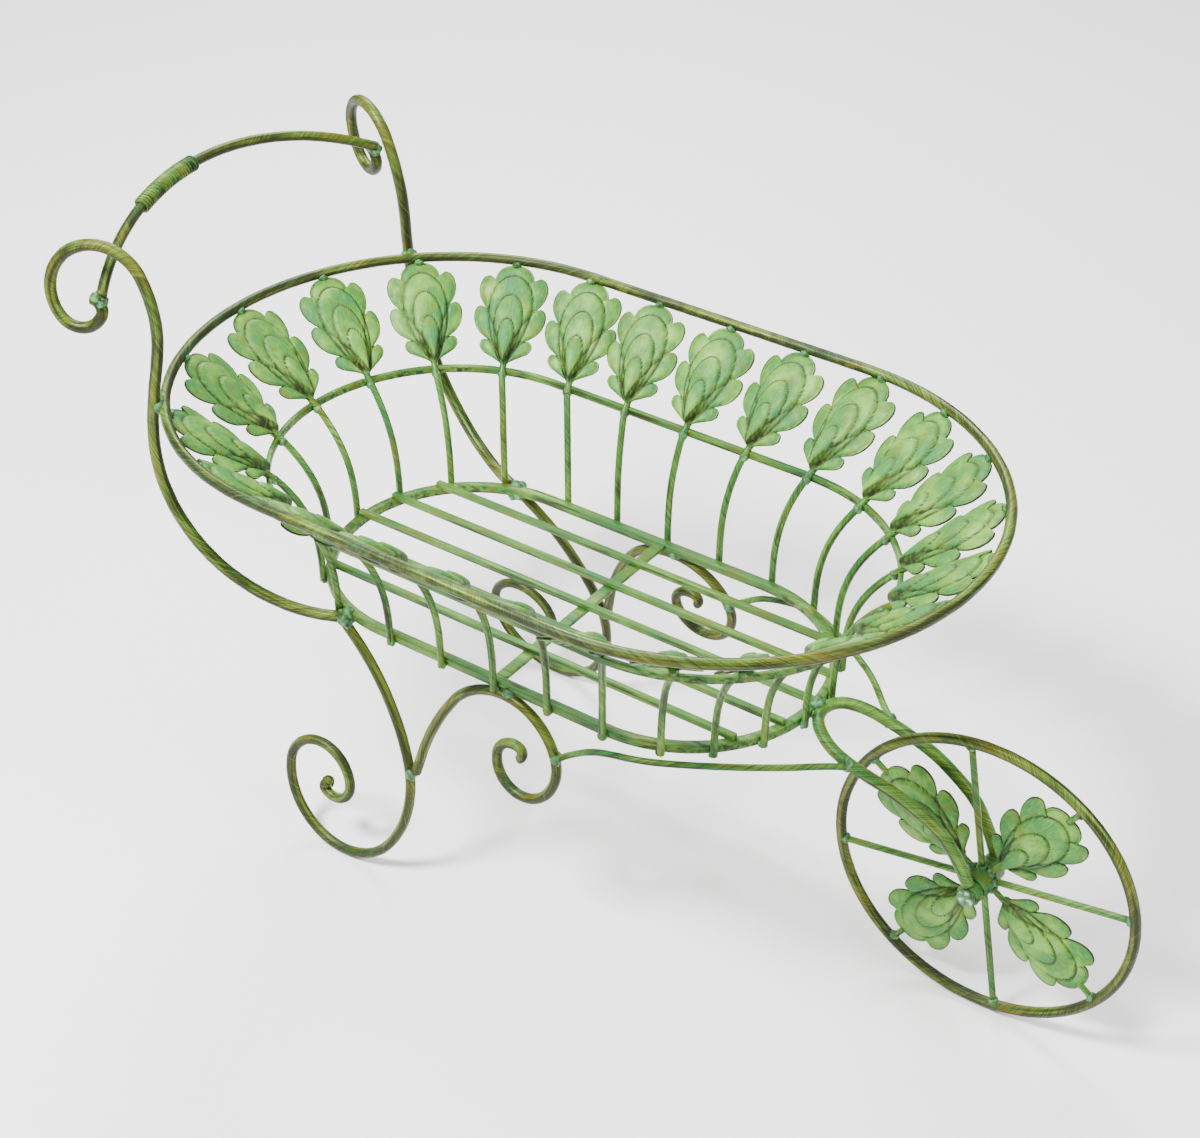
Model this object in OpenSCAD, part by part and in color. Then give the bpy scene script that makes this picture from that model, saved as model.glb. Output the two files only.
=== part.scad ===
// Decorative wrought-iron garden wheelbarrow planter.
// +X points forward to the wheel, +Y to the barrow's left, +Z up, and the ground is z = 0.
// The origin is under the middle of the whole object, at ground level.

/* [Basket] */
// Width of the top rim between the centres of its two sides
rim_w = 393; // [340:1:480]
// Length of the rim's straight sides
rim_straight = 247; // [200:1:300]
// Height of the rim's centre above the ground
rim_z = 356; // [345:1:430]
// Width of the middle band between centres
band_w = 268; // [250:1:300]
// Length of the middle band's straight sides
band_straight = 231; // [190:1:280]
// Height of the middle band's centre
band_z = 292; // [280:1:310]
// Width of the base ring between centres
base_w = 209; // [180:1:235]
// Length of the base ring's straight sides
base_straight = 203; // [180:1:245]
// Height of the base ring's centre
base_z = 204; // [195:1:215]

/* [Bar stock] */
// Diameter of the rim, legs, scrolls and wheel rim rods
rod_d = 8; // [6:0.5:10]
// Diameter of the handle rods, handle bar and fork rod
handle_d = 9; // [7:0.5:11]
// Diameter of the ribs
rib_d = 5.5; // [4:0.5:7]
// Side of the base ring's square bar
base_bar = 7; // [5:0.5:9]
// Side of the floor bars' square bar
floor_bar = 5; // [4:0.5:7]
// Height of the middle band's flat bar
band_h = 6; // [5:0.5:9]
// Thickness of the middle band's flat bar
band_t = 4; // [3:0.5:5]
// Width of the cross bar under the floor
cross_w = 9; // [6:0.5:14]
// Thickness of the cross bar
cross_t = 3; // [2:0.5:4]
// Diameter of the stretchers between scrolls and fork
stretcher_d = 5; // [4:0.5:7]
// Diameter of the wheel spokes
spoke_d = 5; // [4:0.5:7]
// Depth that a weld sinks one bar into the next
weld = 0.4; // [0.2:0.1:0.6]

/* [Ribs and floor] */
// Spacing of the side ribs at the base ring
rib_pitch_base = 47.5; // [40:0.5:52]
// Spacing of the side ribs at the middle band
rib_pitch_band = 54; // [50:0.5:58]
// Spacing of the side ribs at the rim
rib_pitch_rim = 66; // [60:0.5:70]
// Forward shift of the side ribs from the basket's middle
rib_shift = 8; // [0:1:15]
// Angle between the ribs around the rear end, at the band and rim
rear_step = 23.5; // [22:0.5:24.5]
// Angle between the rib feet around the rear end of the base ring
rear_step_base = 22.5; // [21:0.5:24]
// Angle between the ribs around the front end
front_step = 19; // [18.5:0.1:20]
// Sideways spacing of the floor bars
floor_pitch = 33; // [26:1:40]
// How far each floor bar stops short of the base ring's outside
floor_bar_set = 1.5; // [0.5:0.5:3]

/* [Leaves] */
// Thickness of the leaf plates
leaf_t = 2; // [1.5:0.1:3]
// Gap between the middle band and a leaf's point
leaf_gap = 6; // [5:0.5:9]
// Gap between a leaf's tip and the rim's centre
tip_gap = 7; // [5:0.5:9]

/* [Handle] */
// Outward toe of each handle rod's plane
handle_toe = 23.5; // [20:0.5:27]
// Angle around the rear end, from the side, at which a handle rod meets the rim
handle_turn = 45; // [40:0.5:50]
// Radius of the arched handle bar
bar_r = 225; // [200:1:260]
// Rearward lean of the handle bar's arch
bar_lean = 49; // [30:1:70]
// Outer diameter of the wire-wrapped grip
grip_d = 13.5; // [12.5:0.5:18]
// Angle of arch that the grip covers
grip_angle = 17; // [10:1:30]
// Angle from the arch's middle to the grip's middle, to the right
grip_shift = 10.5; // [0:0.5:14]

/* [Legs] */
// Outward splay of the legs' plane
leg_lean = 9.6; // [5:0.1:14]
// Angle around the base ring's rear end, from the side, of the corner that a leg and handle rod share
corner_turn = 18.5; // [16:0.5:20]

/* [Wheel] */
// Radius of the wheel rim's centre line
wheel_r = 113.5; // [100:0.5:118]
// Distance from the basket's middle to the axle
axle_x = 348; // [340:1:370]
// Turn of the spokes from upright
wheel_turn = 10; // [0:1:44]
// Diameter of the axle
axle_d = 8; // [6:0.5:10]
// Radial running clearance in the hub
hub_clear = 0.05; // [0.02:0.01:0.1]
// Outer diameter of the hub
hub_d = 20; // [18:1:26]
// Length of the hub
hub_w = 29; // [24:1:32]
// Side gap between the hub and each fork eye
hub_gap = 0.5; // [0.3:0.1:1]
// Outer diameter of the fork eyes
eye_d = 17; // [15:1:20]
// Width of each fork eye
eye_w = 8; // [6:1:10]
// Diameter of the axle's end heads
head_d = 13; // [12:1:18]
// Thickness of the axle's end heads
head_t = 4; // [3:0.5:6]

/* [Hidden] */
$fn = 48;
verdigris = "#7DAF74";
dark_iron = "#6E7A3C";
rod_sides = 8;
arc_step = 13;
rib_rows = 5;
rear_ribs = 7;
front_ribs = 8;
rib_count = 2 * rib_rows + rear_ribs + front_ribs;
rib_steps = 7;
rib_tail = 30;
floor_bars = 5;
rim_r = rim_w / 2;
band_r = band_w / 2;
base_r = base_w / 2;
foot_drop = base_bar / 2 + 0.5;
rib_base_r = base_r + base_bar / 2 + rib_d / 2 - weld;
leaf_lift = rib_d / 2 + leaf_t / 2 - weld;
leaf_lean = 48;
leaf_start_r = band_r - band_t / 2 - rib_d / 2 - leaf_lift * cos(leaf_lean) + weld;
leaf_start_z = band_z + leaf_lift * sin(leaf_lean);
// Lobes of half a leaf: centre across and along, radius, first and last angle of its edge
leaf_lobes = [[12.5, 12.5, 7, -75, 60], [17.5, 34, 8, -75, 65], [18, 57, 8, -50, 110], [0, 66, 14, 20, 90]];
leaf_edge_steps = 5;
leaf_pattern = 80;
leaf_reach = norm([rim_r - leaf_start_r, rim_z - leaf_start_z]);
leaf_len = leaf_reach - leaf_gap - tip_gap;
stub_lap = 3;
grip_squeeze = 0.1;
wheel_leaf_gap = 10;
// Corner of the base ring where the leg, the handle rod and a rib's foot are welded together
corner_r = base_r + base_bar / 2 + handle_d / 2 - weld;
corner_x = -(base_straight / 2 + corner_r * sin(corner_turn));
corner_y = corner_r * cos(corner_turn);
// Handle rod: from that corner, up past the rim's outside, over a loop and into a scroll
handle_start = [-3, -3];
handle_heading = -4;
handle_low_arcs = [[132, 99], [480, 1.5]];
handle_high_arcs = [[480, 4.3], [106, -35], [36, -188], [18, -125], [9, -107]];
rim_touch_r = rim_r + rod_d / 2 + handle_d / 2 - weld;
rim_touch = [
    -(rim_straight / 2 + rim_touch_r * sin(handle_turn)) - corner_x,
    rim_touch_r * cos(handle_turn) - corner_y
];
handle_lean = atan(-(rim_touch * [sin(handle_toe), cos(handle_toe)]) / (rim_z - base_z));
handle_bar_point = [166.8, 235];
// Legs and C-scrolls: radius and turn of each arc
leg_plane_x = corner_x + 77;
leg_start = [74.5, -4.7];
leg_heading = -143;
leg_arcs = [[196, 33], [94, 57], [55, 145], [30, 172], [15, 131], [4, 150]];
scroll_start = [1.4, -106.2];
scroll_heading = 80.6;
scroll_back_arcs = [[198, -23.6], [52.5, -125]];
scroll_front_arcs = [[33, -68], [25, -137], [14, -106], [5, -130]];
axle_z = wheel_r + rod_d / 2;
eye_y = hub_w / 2 + hub_gap + eye_w / 2;
fork_front = base_straight / 2 + base_r + base_bar / 2 + handle_d / 2 - weld;
// Left half of the fork: forward, outward and upward place of each guide point
fork_guide = [
    [fork_front, 0, base_z + 1], [fork_front + 2, 9, base_z + 0.5], [fork_front + 9, 18, base_z - 1],
    [fork_front + 23, 25.5, base_z - 6], [fork_front + 43, 28, base_z - 12], [axle_x - 62, 27, base_z - 20],
    [axle_x - 40, 25, axle_z + 56], [axle_x - 22, 23, axle_z + 43], [axle_x - 10, 21.5, axle_z + 25],
    [axle_x - 3, eye_y + 1.2, axle_z + eye_d / 2 + 2], [axle_x - 1, eye_y + 1, axle_z + eye_d / 2 - 1.5]
];

// --- Routes and sweeps ---

function unit(v) = v / norm(v);

// Point on an arc whose tangent has heading h
function arc_point(c, r, side, h) = c - r * side * [-sin(h), cos(h)];

// Points of a flat route made of tangent arcs
function arc_route(arcs, at, heading, i = 0) =
    i == len(arcs) ? [at] :
    let (
        r = arcs[i][0],
        turn = arcs[i][1],
        side = sign(turn),
        steps = max(2, ceil(abs(turn) / arc_step)),
        c = at + r * side * [-sin(heading), cos(heading)]
    )
    concat(
        [for (k = [0:steps - 1]) arc_point(c, r, side, heading + turn * k / steps)],
        arc_route(arcs, arc_point(c, r, side, heading + turn), heading + turn, i + 1)
    );

// Smooth curve through guide points
function guide(pts, i) = pts[min(max(i, 0), len(pts) - 1)];
function smooth_point(pts, i, t) =
    let (a = guide(pts, i - 1), b = guide(pts, i), c = guide(pts, i + 1), d = guide(pts, i + 2))
    b + 0.5 * t * (c - a + t * (2 * a - 5 * b + 4 * c - d + t * (3 * (b - c) + d - a)));
function smooth_route(pts, steps) = concat(
    [for (i = [0:len(pts) - 2], k = [0:steps - 1]) smooth_point(pts, i, k / steps)],
    [pts[len(pts) - 1]]
);

function tangent(path, i) = unit(path[min(i + 1, len(path) - 1)] - path[max(i - 1, 0)]);

// Round rod of diameter d along a route, with its rings lined up on the direction up
module rod(path, d, up) {
    n = len(path);
    m = rod_sides;
    rings = [
        for (i = [0:n - 1])
            let (t = tangent(path, i), a = unit(cross(up, t)), b = cross(t, a))
            for (k = [0:m - 1]) path[i] + d / 2 * (cos(360 * k / m) * a + sin(360 * k / m) * b)
    ];
    walls = [
        for (i = [0:n - 2], k = [0:m - 1])
            [i * m + k, (i + 1) * m + k, (i + 1) * m + (k + 1) % m, i * m + (k + 1) % m]
    ];
    caps = [[for (k = [0:m - 1]) k], [for (k = [m - 1:-1:0]) (n - 1) * m + k]];
    polyhedron(rings, concat(walls, caps), convexity = 6);
}

// Point at (u, v) in a side frame's plane, where u runs rearward and v up the plane
function side_point(side, x, toe, lean, p) =
    let (outward = [sin(toe), side * cos(toe), 0])
    [x, side * corner_y, base_z] + p[0] * [-cos(toe), side * sin(toe), 0]
        + p[1] * (cos(lean) * [0, 0, 1] - sin(lean) * outward);
function side_normal(side, toe, lean) =
    cross([-cos(toe), side * sin(toe), 0], cos(lean) * [0, 0, 1] - sin(lean) * [sin(toe), side * cos(toe), 0]);

// Handle rod's route, stretched so that it meets the rim's outside
handle_low = arc_route(handle_low_arcs, handle_start, handle_heading);
handle_meet = handle_low[len(handle_low) - 1];
handle_fit_u = rim_touch * [-cos(handle_toe), sin(handle_toe)] / handle_meet[0];
handle_fit_v = (rim_z - base_z) / cos(handle_lean) / handle_meet[1];
function handle_fit(p) = [p[0] * handle_fit_u, p[1] * handle_fit_v];
handle_route = [
    for (p = arc_route(concat(handle_low_arcs, handle_high_arcs), handle_start, handle_heading))
        handle_fit(p)
];

// Leg's route, stretched so that its scroll rests on the ground
leg_raw = arc_route(leg_arcs, leg_start, leg_heading);
leg_raw_drop = leg_start[1] - min([for (p = leg_raw) p[1]]);
leg_fit = (base_z / cos(leg_lean) - rod_d / 2 + leg_start[1]) / leg_raw_drop;
leg_route = [for (p = leg_raw) [p[0], leg_start[1] + (p[1] - leg_start[1]) * leg_fit]];

// C-scroll's route, u forward, stretched with the leg and with its top under the base ring
scroll_raw = arc_route(concat(scroll_back_arcs, scroll_front_arcs), scroll_start, scroll_heading);
scroll_raw_top = max([for (p = scroll_raw) p[1]]);
scroll_top = -(base_bar / 2 + rod_d / 2 - weld) / cos(leg_lean);
function scroll_fit(p) = [p[0], scroll_top + (p[1] - scroll_raw_top) * leg_fit];
scroll_route = [for (p = scroll_raw) scroll_fit(p)];
scroll_back = arc_route(scroll_back_arcs, scroll_start, scroll_heading);
scroll_front = scroll_fit(scroll_back[len(scroll_back) - 1]);

// Right-hand stretcher, from the outside of the C-scroll's front to the fork
front_angle = 22;
stretcher_foot = scroll_front + (rod_d / 2 - 2 * weld) * [cos(front_angle), sin(front_angle)];
function scroll_side(p) = side_point(1, leg_plane_x, 0, leg_lean, [-p[0], p[1]]);
ring_x = base_straight / 2;
stretcher_guide = [
    scroll_side(stretcher_foot), scroll_side(stretcher_foot + [12, 9]),
    [ring_x - 1.5, base_r + 6.5, base_z - 17], [ring_x + 38.5, base_r + 2.5, base_z - 9],
    [ring_x + 78.5, base_r - 17.5, base_z - 7.5], [fork_front + 1.4, 64, base_z - 7.5],
    [fork_front + 26.4, 41, base_z - 10], [fork_front + 38.4, 31, base_z - 11.5]
];

// Handle bar's arch, between the two rods' scrolls
bar_end = side_point(1, corner_x, handle_toe, handle_lean, handle_fit(handle_bar_point));
bar_half_angle = asin(bar_end[1] / bar_r);
bar_rise = bar_r * (1 - cos(bar_half_angle));
x_front = axle_x + wheel_r + rod_d / 2;
x_back = bar_end[0] - bar_rise * sin(bar_lean) - grip_d / 2;
middle_x = (x_front + x_back) / 2;

module place() {
    translate([-middle_x, 0, 0]) children();
}

// --- Rings ---

module stadium(straight, r) {
    square([straight, 2 * r], center = true);
    for (s = [-1, 1]) translate([s * straight / 2, 0]) circle(r);
}

module flat_ring(straight, r, t, h) {
    linear_extrude(h, center = true) difference() {
        stadium(straight, r + t / 2);
        stadium(straight, r - t / 2);
    }
}

module top_rim() {
    color(verdigris) place() translate([0, 0, rim_z]) for (s = [-1, 1]) {
        translate([s * rim_straight / 2, 0, 0]) rotate([0, 0, -90 * s])
            rotate_extrude(angle = 180) translate([rim_r, 0]) circle(d = rod_d);
        translate([-rim_straight / 2, s * rim_r, 0]) rotate([0, 90, 0])
            cylinder(h = rim_straight, d = rod_d);
    }
}

module middle_band() {
    color(verdigris) place() translate([0, 0, band_z]) flat_ring(band_straight, band_r, band_t, band_h);
}

module base_ring() {
    color(dark_iron) place() translate([0, 0, base_z]) flat_ring(base_straight, base_r, base_bar, base_bar);
}

// --- Floor ---

module floor_bar_at(i) {
    y = floor_pitch * (i - (floor_bars + 1) / 2);
    ring_reach = sqrt(pow(base_r + base_bar / 2, 2) - pow(abs(y) + floor_bar / 2, 2));
    reach = base_straight / 2 + ring_reach - floor_bar_set;
    color(verdigris) place() translate([0, y, base_z + base_bar / 2 + floor_bar / 2 - weld])
        cube([2 * reach, floor_bar, floor_bar], center = true);
}

module cross_bar() {
    color(verdigris) place() translate([rib_shift, 0, base_z + base_bar / 2 - cross_t / 2])
        cube([cross_w, base_w - base_bar + 2 * weld, cross_t], center = true);
}

// --- Ribs with leaves ---

// Place around a ring: ribs 1-5 left side, 6-10 right side, 11-17 rear end, 18-25 front end
function rib_xy(i, straight, pitch, step, r) =
    i <= 2 * rib_rows ?
        [rib_shift + pitch * ((i - 1) % rib_rows - (rib_rows - 1) / 2), i <= rib_rows ? r : -r] :
    i <= 2 * rib_rows + rear_ribs ?
        let (a = 180 + step * (i - 2 * rib_rows - (rear_ribs + 1) / 2))
        [-straight / 2 + r * cos(a), r * sin(a)] :
        let (a = front_step * (i - 2 * rib_rows - rear_ribs - (front_ribs + 1) / 2))
        [straight / 2 + r * cos(a), r * sin(a)];

function lobe_edge(l) = [
    for (k = [0:leaf_edge_steps])
        let (a = l[3] + (l[4] - l[3]) * k / leaf_edge_steps)
        [l[0] + l[2] * cos(a), l[1] + l[2] * sin(a)]
];
half_leaf = [for (l = leaf_lobes) each lobe_edge(l)];
leaf_outline = concat(
    [[0, 0]],
    half_leaf,
    [for (k = [len(half_leaf) - 2:-1:0]) [-half_leaf[k][0], half_leaf[k][1]]]
);

// Leaf plate of a given length whose point is at the origin and whose tip is toward +Z, facing -X
module leaf_plate(length) {
    rotate([90, 0, 90]) linear_extrude(leaf_t, center = true)
        polygon([for (p = leaf_outline) [p[0], p[1] * length / leaf_pattern]]);
}

module leaf_rib(i) {
    foot = rib_xy(i, base_straight, rib_pitch_base, rear_step_base, rib_base_r);
    start = rib_xy(i, band_straight, rib_pitch_band, rear_step, leaf_start_r);
    end = rib_xy(i, rim_straight, rib_pitch_rim, rear_step, rim_r);
    run = end - start;
    rise = rim_z - leaf_start_z;
    azimuth = atan2(run[1], run[0]);
    lean = atan2(norm(run), rise);
    reach = norm([norm(run), rise]);
    out = [cos(azimuth), sin(azimuth), 0];
    along = sin(lean) * out + [0, 0, cos(lean)];
    below = leaf_lift * (cos(lean) * out - [0, 0, sin(lean)]);
    bend = [start[0], start[1], leaf_start_z] + below;
    foot_z = base_z - foot_drop;
    rise_pts = [
        for (k = [0:rib_steps - 1])
            let (t = k / rib_steps, s = pow(t, 3))
            [foot[0] + (bend[0] - foot[0]) * s,
             foot[1] + (bend[1] - foot[1]) * s,
             foot_z + (bend[2] - foot_z) * t]
    ];
    color(verdigris) place() {
        rod(concat(rise_pts, [bend, bend + along * rib_tail / 3, bend + along * rib_tail]), rib_d,
            [-sin(azimuth), cos(azimuth), 0]);
        translate([start[0], start[1], leaf_start_z]) rotate([0, 0, azimuth]) rotate([0, lean, 0]) {
            translate([0, 0, leaf_gap]) leaf_plate(leaf_len);
            translate([0, 0, leaf_gap + leaf_len - stub_lap])
                cylinder(h = reach - rod_d / 2 + weld - leaf_gap - leaf_len + stub_lap, d = rib_d - 1);
        }
    }
}

// --- Side frames ---

module handle_rod(side) {
    color(dark_iron) place() rod(
        [for (p = handle_route) side_point(side, corner_x, handle_toe, handle_lean, p)], handle_d,
        side_normal(side, handle_toe, handle_lean));
}

module leg(side) {
    color(dark_iron) place() rod(
        [for (p = leg_route) side_point(side, leg_plane_x, 0, leg_lean, p)], rod_d,
        side_normal(side, 0, leg_lean));
}

module c_scroll(side) {
    color(dark_iron) place() rod(
        [for (p = scroll_route) side_point(side, leg_plane_x, 0, leg_lean, [-p[0], p[1]])], rod_d,
        side_normal(side, 0, leg_lean));
}

module stretcher(side) {
    route = smooth_route(stretcher_guide, 3);
    color(verdigris) place() rod([for (p = route) [p[0], side * p[1], p[2]]], stretcher_d, [0, 0, 1]);
}

// --- Handle ---

// Moves an arc drawn about the origin in the XY plane, top at +Y, into the handle's arch
module arch() {
    translate([bar_end[0], 0, bar_end[2]]) rotate([0, -bar_lean, 0]) rotate([90, 0, 90])
        translate([0, bar_rise - bar_r, 0]) children();
}

module handle_bar() {
    color(dark_iron) place() arch() rotate([0, 0, 90 - bar_half_angle])
        rotate_extrude(angle = 2 * bar_half_angle) translate([bar_r, 0]) circle(d = handle_d);
}

module wire_grip() {
    color(verdigris) place() arch() rotate([0, 0, 90 + grip_shift - grip_angle / 2])
        rotate_extrude(angle = grip_angle) translate([bar_r, 0]) difference() {
            circle(d = grip_d);
            circle(d = handle_d - grip_squeeze);
        }
}

// --- Fork, axle and wheel ---

module fork() {
    half = smooth_route(fork_guide, 3);
    route = concat(
        [for (k = [len(half) - 1:-1:1]) [half[k][0], -half[k][1], half[k][2]]],
        half
    );
    color(verdigris) place() rod(route, handle_d, [0.5, 0, 0.87]);
}

module fork_eye(side) {
    color(verdigris) place() translate([axle_x, side * eye_y, axle_z]) rotate([90, 0, 0]) difference() {
        cylinder(h = eye_w, d = eye_d, center = true);
        cylinder(h = eye_w + 2, d = axle_d, center = true);
    }
}

module axle() {
    head_y = eye_y + eye_w / 2;
    color(dark_iron) place() translate([axle_x, 0, axle_z]) rotate([90, 0, 0]) {
        cylinder(h = 2 * head_y, d = axle_d, center = true);
        for (s = [-1, 1]) translate([0, 0, s * (head_y + head_t / 2)])
            cylinder(h = head_t, d = head_d, center = true);
    }
}

module wheel_hub() {
    color(verdigris) place() translate([axle_x, 0, axle_z]) rotate([90, 0, 0]) difference() {
        cylinder(h = hub_w, d = hub_d, center = true);
        cylinder(h = hub_w + 2, d = axle_d + 2 * hub_clear, center = true);
    }
}

module wheel_rim() {
    color(dark_iron) place() translate([axle_x, 0, axle_z]) rotate([90, 0, 0])
        rotate_extrude() translate([wheel_r, 0]) circle(d = rod_d);
}

// Turns children pointing up to the given angle above forward, about the axle
module wheel_at(angle) {
    translate([axle_x, 0, axle_z]) rotate([0, 90 - angle, 0]) children();
}

module spoke(i) {
    inner = hub_d / 2 - weld;
    color(verdigris) place() wheel_at(wheel_turn + 90 * i)
        translate([0, 0, inner]) cylinder(h = wheel_r - rod_d / 2 + weld - inner, d = spoke_d);
}

module wheel_leaf(i) {
    inner = hub_d / 2 - weld;
    outer = wheel_r - rod_d / 2 + weld;
    length = outer - inner - 2 * wheel_leaf_gap;
    leaf_base = inner + wheel_leaf_gap;
    color(verdigris) place() wheel_at(wheel_turn + 45 + 90 * i) {
        translate([0, 0, leaf_base]) rotate([0, 0, 90]) leaf_plate(length);
        translate([0, 0, inner]) cylinder(h = wheel_leaf_gap + 3 * stub_lap, d = rib_d - 1);
        translate([0, 0, leaf_base + length - stub_lap])
            cylinder(h = wheel_leaf_gap + stub_lap, d = rib_d - 1);
    }
}

top_rim();
middle_band();
base_ring();
for (i = [1:floor_bars]) floor_bar_at(i);
cross_bar();
for (i = [1:rib_count]) leaf_rib(i);
handle_rod(-1);  // handle_rod_right
handle_rod(1);  // handle_rod_left
leg(-1);  // leg_right
leg(1);  // leg_left
c_scroll(-1);  // c_scroll_right
c_scroll(1);  // c_scroll_left
stretcher(-1);  // stretcher_right
stretcher(1);  // stretcher_left
handle_bar();
wire_grip();
fork();
fork_eye(-1);  // fork_eye_right
fork_eye(1);  // fork_eye_left
axle();
wheel_hub();
wheel_rim();
for (i = [1:4]) spoke(i);
for (i = [1:4]) wheel_leaf(i);
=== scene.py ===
import math

import bmesh
import bpy
from mathutils import Matrix, Vector, noise


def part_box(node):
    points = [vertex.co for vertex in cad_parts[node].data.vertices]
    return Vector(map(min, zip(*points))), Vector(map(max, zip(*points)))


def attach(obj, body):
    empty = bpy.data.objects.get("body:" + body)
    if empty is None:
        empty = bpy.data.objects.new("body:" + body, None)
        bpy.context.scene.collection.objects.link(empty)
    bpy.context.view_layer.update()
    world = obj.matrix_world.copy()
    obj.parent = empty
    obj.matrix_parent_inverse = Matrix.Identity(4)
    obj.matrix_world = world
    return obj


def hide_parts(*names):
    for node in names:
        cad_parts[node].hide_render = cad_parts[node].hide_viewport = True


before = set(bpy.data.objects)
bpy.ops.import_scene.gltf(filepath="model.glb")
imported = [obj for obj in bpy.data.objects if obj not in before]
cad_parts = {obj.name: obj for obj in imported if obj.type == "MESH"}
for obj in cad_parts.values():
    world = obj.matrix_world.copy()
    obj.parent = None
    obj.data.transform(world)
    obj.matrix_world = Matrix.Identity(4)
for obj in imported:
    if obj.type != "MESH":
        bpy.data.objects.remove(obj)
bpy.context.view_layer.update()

# A garden planter made like a small wheelbarrow, from round and square iron bar with pressed oak leaves.
# Lengths are in metres, and MM turns millimetres into them. +X is forward, +Y left, +Z up.

MM = 0.001
FRAME_BODY = "barrow_frame"
WHEEL_BODY = "wheel"
ROD_CORNERS = 8


# --- Finishes ---

def new_finish(name):
    """A material with an empty node tree but for its shader and output."""
    finish = bpy.data.materials.new(name)
    finish.use_nodes = True
    nodes = finish.node_tree.nodes
    nodes.clear()
    shader = nodes.new("ShaderNodeBsdfPrincipled")
    output = nodes.new("ShaderNodeOutputMaterial")
    finish.node_tree.links.new(shader.outputs["BSDF"], output.inputs["Surface"])
    return finish, shader


def scaled_coords(tree, source, scale):
    """The source vector, stretched by scale."""
    mapping = tree.nodes.new("ShaderNodeMapping")
    mapping.inputs["Scale"].default_value = scale
    tree.links.new(source, mapping.inputs["Vector"])
    return mapping.outputs["Vector"]


def noise_field(tree, vector, scale, detail=3.0, roughness=0.5):
    """Cloudy noise from 0 to 1 along a vector."""
    field = tree.nodes.new("ShaderNodeTexNoise")
    field.inputs["Scale"].default_value = scale
    field.inputs["Detail"].default_value = detail
    field.inputs["Roughness"].default_value = roughness
    tree.links.new(vector, field.inputs["Vector"])
    return field.outputs["Fac"]


def ramp(tree, value, stops):
    """Colours along a value; stops are (position, colour)."""
    node = tree.nodes.new("ShaderNodeValToRGB")
    band = node.color_ramp
    while len(band.elements) < len(stops):
        band.elements.new(0.5)
    for element, (position, colour) in zip(band.elements, stops):
        element.position = position
        element.color = (*colour, 1.0)
    tree.links.new(value, node.inputs["Fac"])
    return node.outputs["Color"]


def ease(tree, value, low, high, out_low=0.0, out_high=1.0):
    """A value eased from low..high to out_low..out_high."""
    node = tree.nodes.new("ShaderNodeMapRange")
    node.interpolation_type = "SMOOTHSTEP"
    node.inputs["From Min"].default_value = low
    node.inputs["From Max"].default_value = high
    node.inputs["To Min"].default_value = out_low
    node.inputs["To Max"].default_value = out_high
    tree.links.new(value, node.inputs["Value"])
    return node.outputs["Result"]


def blend_colour(tree, amount, under, over):
    """One colour laid over another, by an amount."""
    node = tree.nodes.new("ShaderNodeMix")
    node.data_type = "RGBA"
    tree.links.new(amount, node.inputs["Factor"])
    for socket, colour in ((node.inputs["A"], under), (node.inputs["B"], over)):
        if isinstance(colour, tuple):
            socket.default_value = (*colour, 1.0)
        else:
            tree.links.new(colour, socket)
    return node.outputs["Result"]


def math_node(tree, operation, a, b):
    """Two values, or a value and a number, put through a Math node."""
    node = tree.nodes.new("ShaderNodeMath")
    node.operation = operation
    for socket, value in zip(node.inputs, (a, b)):
        if isinstance(value, float):
            socket.default_value = value
        else:
            tree.links.new(value, socket)
    return node.outputs["Value"]


def own_value(tree, name, output="Fac"):
    """An attribute that the mesh carries."""
    node = tree.nodes.new("ShaderNodeAttribute")
    node.attribute_name = name
    return node.outputs[output]


def roughen(tree, shader, height, distance, strength):
    """Fine bumps from a height."""
    bump = tree.nodes.new("ShaderNodeBump")
    bump.inputs["Distance"].default_value = distance
    bump.inputs["Strength"].default_value = strength
    tree.links.new(height, bump.inputs["Height"])
    tree.links.new(bump.outputs["Normal"], shader.inputs["Normal"])


PALE_GREEN = (0.150, 0.330, 0.045)
LEAF_GREEN = (0.050, 0.185, 0.026)
TEAL_GREEN = (0.012, 0.150, 0.052)
MOSS = (0.032, 0.062, 0.004)
OLD_GOLD = (0.135, 0.120, 0.004)
UMBER = (0.016, 0.014, 0.002)
SOOT = (0.006, 0.008, 0.002)
BARE_STEEL = (0.42, 0.43, 0.37)


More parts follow.
